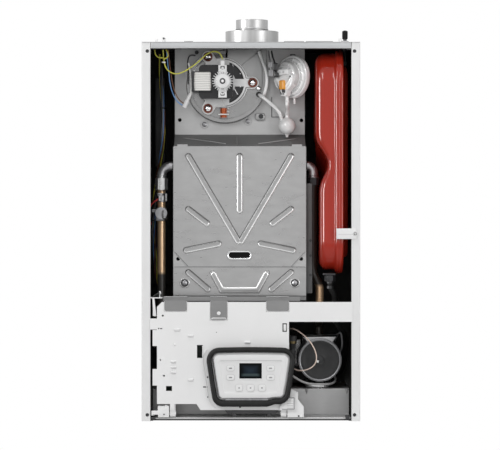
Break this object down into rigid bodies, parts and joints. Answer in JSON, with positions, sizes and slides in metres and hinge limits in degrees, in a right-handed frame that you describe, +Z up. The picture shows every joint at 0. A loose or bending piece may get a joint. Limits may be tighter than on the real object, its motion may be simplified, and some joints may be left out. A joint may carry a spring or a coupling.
{
  "type": "wall-hung combi boiler",
  "caption": "Wall-hung combi boiler with its front cover off: casing, flue, fan, combustion chamber, expansion vessel, pump, hydraulics and a tilting control box.",
  "frame": {"origin": "middle of the back panel's lower edge, on the wall plane", "axes": "+X to the right as seen from the front, -Y towards the front, +Z up"},
  "size_m": [0.4, 0.299, 0.745],
  "materials": {
    "white_casing": "smooth white enamel",
    "dark_sheet": "dark grey, matt",
    "galvanised": "galvanised, satin",
    "aluminium": "satin",
    "brown_rubber": "matt red-brown",
    "black_steel": "black laminations",
    "white_tape": "wound tape",
    "bright_steel": "satin",
    "screw_steel": "polished",
    "white_plastic": "moulded, satin",
    "button_white": "satin",
    "clear_tube": "translucent silicone",
    "sight_glass": "dark heat-proof glass",
    "copper": "drawn copper tube",
    "red_paint": "glossy red-orange",
    "black_rubber": "matt",
    "dark_plastic": "moulded",
    "cast_iron": "painted black",
    "brass": "machined",
    "cast_aluminium": "die cast",
    "red_plastic": "moulded",
    "blue_plastic": "moulded",
    "circuit_board": "solder mask",
    "wire_sleeve": "wire insulation"
  },
  "bodies": {
    "chassis": {"side_panel_left": "white_casing", "side_panel_right": "white_casing", "top_panel": "white_casing", "back_panel": "dark_sheet", "bottom_tray": "galvanised", "hood": "galvanised", "fan_plate": "galvanised", "chamber_cover_upper": "galvanised", "chamber_cover_lower": "galvanised", "chamber_walls": "galvanised", "cross_member": "galvanised", "fan_volute": "galvanised", "bearing_bridge": "galvanised", "flue_tube": "aluminium", "air_collar": "aluminium", "motor_plate": "aluminium", "fan_grommets": "brown_rubber", "motor_stack": "black_steel", "motor_coil": "white_tape", "burner": "bright_steel", "electrodes": "bright_steel", "plate_exchanger": "bright_steel", "vessel_fittings": "bright_steel", "screws": "screw_steel", "pressure_switch": "white_plastic", "vessel_clip": "white_plastic", "sensing_tubes": "clear_tube", "sight_glass": "sight_glass", "heat_exchanger": "copper", "flow_pipe": "copper", "return_pipe": "copper", "expansion_vessel": "red_paint", "vessel_hose": "black_rubber", "pipe_sensors": "dark_plastic", "pump_motor": "dark_plastic", "diverter_motor": "dark_plastic", "box_brackets": "dark_plastic", "pump_housing": "cast_iron", "hydraulic_block": "brass", "gas_valve": "cast_aluminium", "wiring_loom": "wire_sleeve"},
    "control_box": {"control_cover": "white_plastic", "control_base": "dark_plastic", "main_board": "circuit_board", "display_board": "circuit_board", "fascia": "white_plastic", "fascia_gasket": "black_rubber"},
    "fan": {"fan_rotor": "bright_steel", "fan_impeller": "bright_steel"},
    "pump_wheel": {"pump_rotor": "bright_steel"},
    "diverter": {"diverter_spindle": "bright_steel"},
    "relief_valve": {"relief_knob": "red_plastic"},
    "filling_valve": {"filling_tap": "blue_plastic"},
    "key_1": {"button_1": "button_white"},
    "key_2": {"button_2": "button_white"},
    "key_3": {"button_3": "button_white"},
    "key_4": {"button_4": "button_white"},
    "key_5": {"button_5": "button_white"},
    "key_6": {"button_6": "button_white"},
    "key_7": {"button_7": "button_white"}
  },
  "joints": [
    {"name": "control_box_tilt", "type": "hinge", "parent": "chassis", "child": "control_box", "pos_m": [0, -0.271, 0.014], "axis": [1, 0, 0], "range_deg": [0, 85]},
    {"name": "fan_spin", "type": "hinge", "parent": "chassis", "child": "fan", "pos_m": [-0.0524, -0.18, 0.6246], "axis": [0, 1, 0], "continuous": true},
    {"name": "pump_spin", "type": "hinge", "parent": "chassis", "child": "pump_wheel", "pos_m": [0.1285, -0.15, 0.1078], "axis": [0, 1, 0], "continuous": true},
    {"name": "diverter_stroke", "type": "slide", "parent": "chassis", "child": "diverter", "axis": [0, 0, -1], "range_m": [0, 0.0055]},
    {"name": "relief_turn", "type": "hinge", "parent": "chassis", "child": "relief_valve", "pos_m": [0.062, -0.15, 0.075], "axis": [0, -1, 0], "range_deg": [0, 90]},
    {"name": "filling_turn", "type": "hinge", "parent": "chassis", "child": "filling_valve", "pos_m": [-0.0975, -0.15, 0.05], "axis": [0, 0, -1], "range_deg": [0, 270]},
    {"name": "key_1_press", "type": "slide", "parent": "control_box", "child": "key_1", "axis": [0, 1, 0], "range_m": [0, 0.0008], "stiffness_N_per_m": 800, "springref_m": -0.0006},
    {"name": "key_2_press", "type": "slide", "parent": "control_box", "child": "key_2", "axis": [0, 1, 0], "range_m": [0, 0.0008], "stiffness_N_per_m": 800, "springref_m": -0.0006},
    {"name": "key_3_press", "type": "slide", "parent": "control_box", "child": "key_3", "axis": [0, 1, 0], "range_m": [0, 0.0008], "stiffness_N_per_m": 800, "springref_m": -0.0006},
    {"name": "key_4_press", "type": "slide", "parent": "control_box", "child": "key_4", "axis": [0, 1, 0], "range_m": [0, 0.0008], "stiffness_N_per_m": 800, "springref_m": -0.0006},
    {"name": "key_5_press", "type": "slide", "parent": "control_box", "child": "key_5", "axis": [0, 1, 0], "range_m": [0, 0.0008], "stiffness_N_per_m": 800, "springref_m": -0.0006},
    {"name": "key_6_press", "type": "slide", "parent": "control_box", "child": "key_6", "axis": [0, 1, 0], "range_m": [0, 0.0008], "stiffness_N_per_m": 800, "springref_m": -0.0006},
    {"name": "key_7_press", "type": "slide", "parent": "control_box", "child": "key_7", "axis": [0, 1, 0], "range_m": [0, 0.0008], "stiffness_N_per_m": 800, "springref_m": -0.0006}
  ]
}
